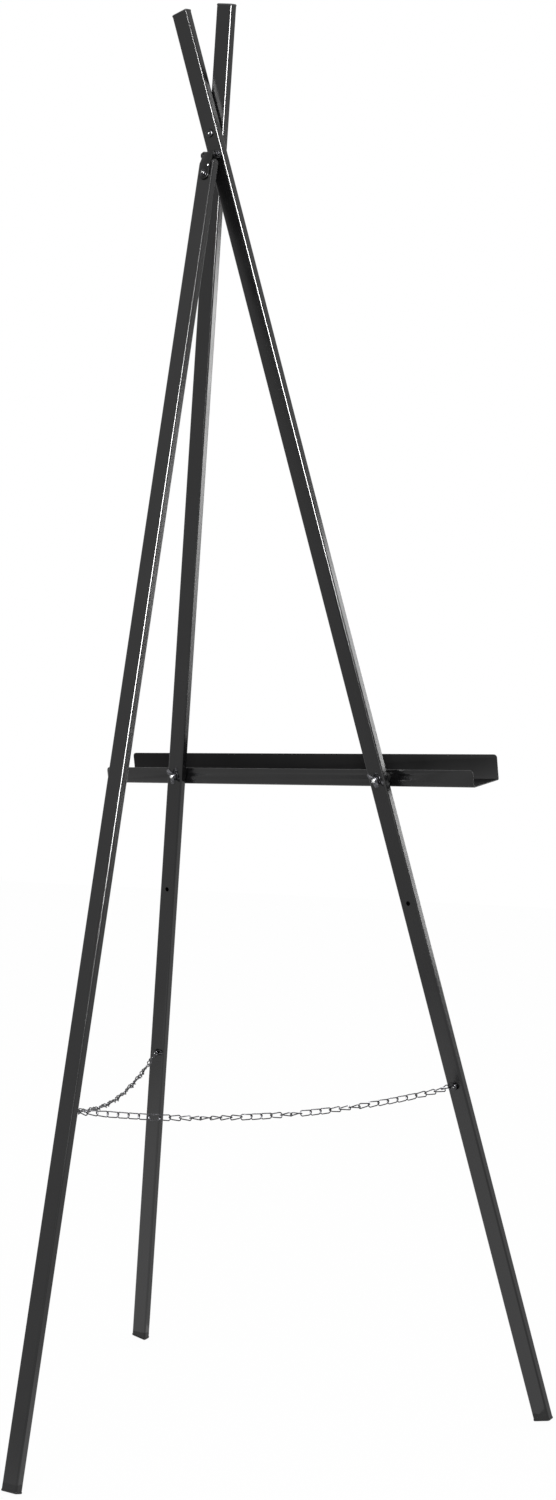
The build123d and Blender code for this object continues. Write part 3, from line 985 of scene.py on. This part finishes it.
def backdrop_surface(colour):
    """Matt white card. The camera sees it nearly lit through, so that only the object's shadow stays."""
    material = bpy.data.materials.new("white_card")
    material.use_nodes = True
    tree = material.node_tree
    tree.nodes.clear()
    card = add_node(tree, "ShaderNodeBsdfDiffuse", {"Color": opaque(colour)})
    glow = add_node(tree, "ShaderNodeEmission", {"Color": opaque(colour), "Strength": 1.0})
    _, seen = seen_rays(tree)
    glow_share = 0.96
    share = add_node(tree, "ShaderNodeMath", {"operation": "MULTIPLY", 1: glow_share}, {0: seen.outputs[0]})
    mixed = add_node(
        tree, "ShaderNodeMixShader", links={0: share.outputs[0], 1: card.outputs[0], 2: glow.outputs[0]}
    )
    add_node(tree, "ShaderNodeOutputMaterial", links={"Surface": mixed.outputs[0]})
    return material


def soft_lamp(name, place, target, size, power, diffuse):
    """A soft lamp, wide and tall by size, that faces a point. Without diffuse it is only a gloss."""
    light = bpy.data.lights.new(name, "AREA")
    light.shape = "RECTANGLE"
    light.size, light.size_y = size
    light.energy = power
    lamp = bpy.data.objects.new(name, light)
    lamp.location = place
    lamp.visible_diffuse = diffuse
    lamp.visible_camera = diffuse
    lamp.rotation_mode = "QUATERNION"
    lamp.rotation_quaternion = (Vector(target) - Vector(place)).to_track_quat("-Z", "Y")
    bpy.context.scene.collection.objects.link(lamp)


class EASEL_OT_stage(bpy.types.Operator):
    """Sets the camera, the pale floor, the surroundings and the lamps."""

    bl_idname = "easel.stage"
    bl_label = "Set Stage"

    def execute(self, context):
        scene = context.scene
        stage = scene.easel_stage
        self.camera(scene, stage)
        self.floor(scene, stage)
        self.surroundings(scene, stage)
        self.lamps(stage)
        scene.view_settings.view_transform = "Standard"
        return {"FINISHED"}

    def lamps(self, stage):
        """The key lights the object. The others only give the coat its lines and soft reflections."""
        top = CAD_BOX[1].z
        # Heights of the two boxes' middles
        edge, side = 1.43, 0.96
        lamps = (
            ("key_lamp", (-1.2, 2.2, top * 1.7), (0, 0, top / 2), (1.8, 1.8), stage.key_power, True),
            ("edge_box", (-0.786, 1.024, edge), (0, 0.05, edge), (0.48, 0.86), stage.edge_power, False),
            ("side_box", (-0.58, -0.92, side), (0, 0, side), (0.17, 0.68), stage.side_power, False),
            ("bounce", (0.25, 0.2, 0.01), (0.25, 0.2, 1), (1.1, 1.0), stage.bounce_power, False),
        )
        for name, place, target, size, power, diffuse in lamps:
            soft_lamp(name, place, target, size, power, diffuse)

    def camera(self, scene, stage):
        """The camera that the scene is seen through."""
        data = bpy.data.cameras.new("camera")
        data.lens = stage.lens
        data.shift_x, data.shift_y = stage.shift_x, stage.shift_y
        data.clip_start, data.clip_end = 0.05, 60
        camera = bpy.data.objects.new("camera", data)
        turn = Matrix.Rotation(stage.heading, 4, "Z") @ Matrix.Rotation(pi / 2 + stage.pitch, 4, "X")
        camera.matrix_world = Matrix.Translation(stage.eye) @ turn @ Matrix.Rotation(stage.roll, 4, "Z")
        scene.collection.objects.link(camera)
        scene.camera = camera

    def floor(self, scene, stage):
        """A wide white floor, centred under the object."""
        half_side = 8.0
        shape = bmesh.new()
        bmesh.ops.create_grid(shape, x_segments=1, y_segments=1, size=half_side)
        mesh = bpy.data.meshes.new("floor")
        shape.to_mesh(mesh)
        shape.free()
        mesh.materials.append(backdrop_surface(stage.backdrop))
        floor = bpy.data.objects.new("floor", mesh)
        scene.collection.objects.link(floor)

    def surroundings(self, scene, stage):
        """White surroundings, which light the object less than they show behind it."""
        light, white = 0.78, 1.0
        world = bpy.data.worlds.new("studio")
        world.use_nodes = True
        tree = world.node_tree
        tree.nodes.clear()
        rays, seen = seen_rays(tree)
        either = add_node(
            tree,
            "ShaderNodeMath",
            {"operation": "MAXIMUM"},
            {0: seen.outputs[0], 1: rays.outputs["Is Transmission Ray"]},
        )
        lit = add_node(tree, "ShaderNodeBackground", {"Color": opaque(stage.backdrop), "Strength": light})
        shown = add_node(tree, "ShaderNodeBackground", {"Color": opaque(stage.backdrop), "Strength": white})
        mixed = add_node(
            tree, "ShaderNodeMixShader", links={0: either.outputs[0], 1: lit.outputs[0], 2: shown.outputs[0]}
        )
        add_node(tree, "ShaderNodeOutputWorld", links={"Surface": mixed.outputs[0]})
        scene.world = world


# ---- Panel and registration ----
OPERATORS = (
    EASEL_OT_stage,
    EASEL_OT_legs,
    EASEL_OT_plugs,
    EASEL_OT_crossing,
    EASEL_OT_hinge,
    EASEL_OT_tray,
    EASEL_OT_wing_nuts,
    EASEL_OT_chains,
)
SETTINGS = {
    "easel_coating": EaselCoatingSettings,
    "easel_fittings": EaselFittingSettings,
    "easel_chain": EaselChainSettings,
    "easel_stage": EaselStageSettings,
}


class EASEL_PT_sidebar(bpy.types.Panel):
    """Lists the easel's steps and settings."""

    bl_idname = "EASEL_PT_sidebar"
    bl_label = "Display Easel"
    bl_space_type = "VIEW_3D"
    bl_region_type = "UI"
    bl_category = "Easel"

    def draw(self, context):
        for operator in OPERATORS:
            self.layout.operator(operator.bl_idname)
        for name, group in SETTINGS.items():
            box = self.layout.box()
            for setting in group.__annotations__:
                box.prop(getattr(context.scene, name), setting)


CLASSES = (*SETTINGS.values(), *OPERATORS, EASEL_PT_sidebar)


def register():
    for cls in CLASSES:
        bpy.utils.register_class(cls)
    for name, group in SETTINGS.items():
        setattr(bpy.types.Scene, name, PointerProperty(type=group))


def unregister():
    for name in SETTINGS:
        delattr(bpy.types.Scene, name)
    for cls in reversed(CLASSES):
        bpy.utils.unregister_class(cls)


def main():
    """Runs each step in order."""
    register()
    bpy.ops.easel.stage()
    bpy.ops.easel.legs()
    bpy.ops.easel.plugs()
    bpy.ops.easel.crossing()
    bpy.ops.easel.hinge()
    bpy.ops.easel.tray()
    bpy.ops.easel.wing_nuts()
    bpy.ops.easel.chains()


if __name__ == "__main__":
    main()
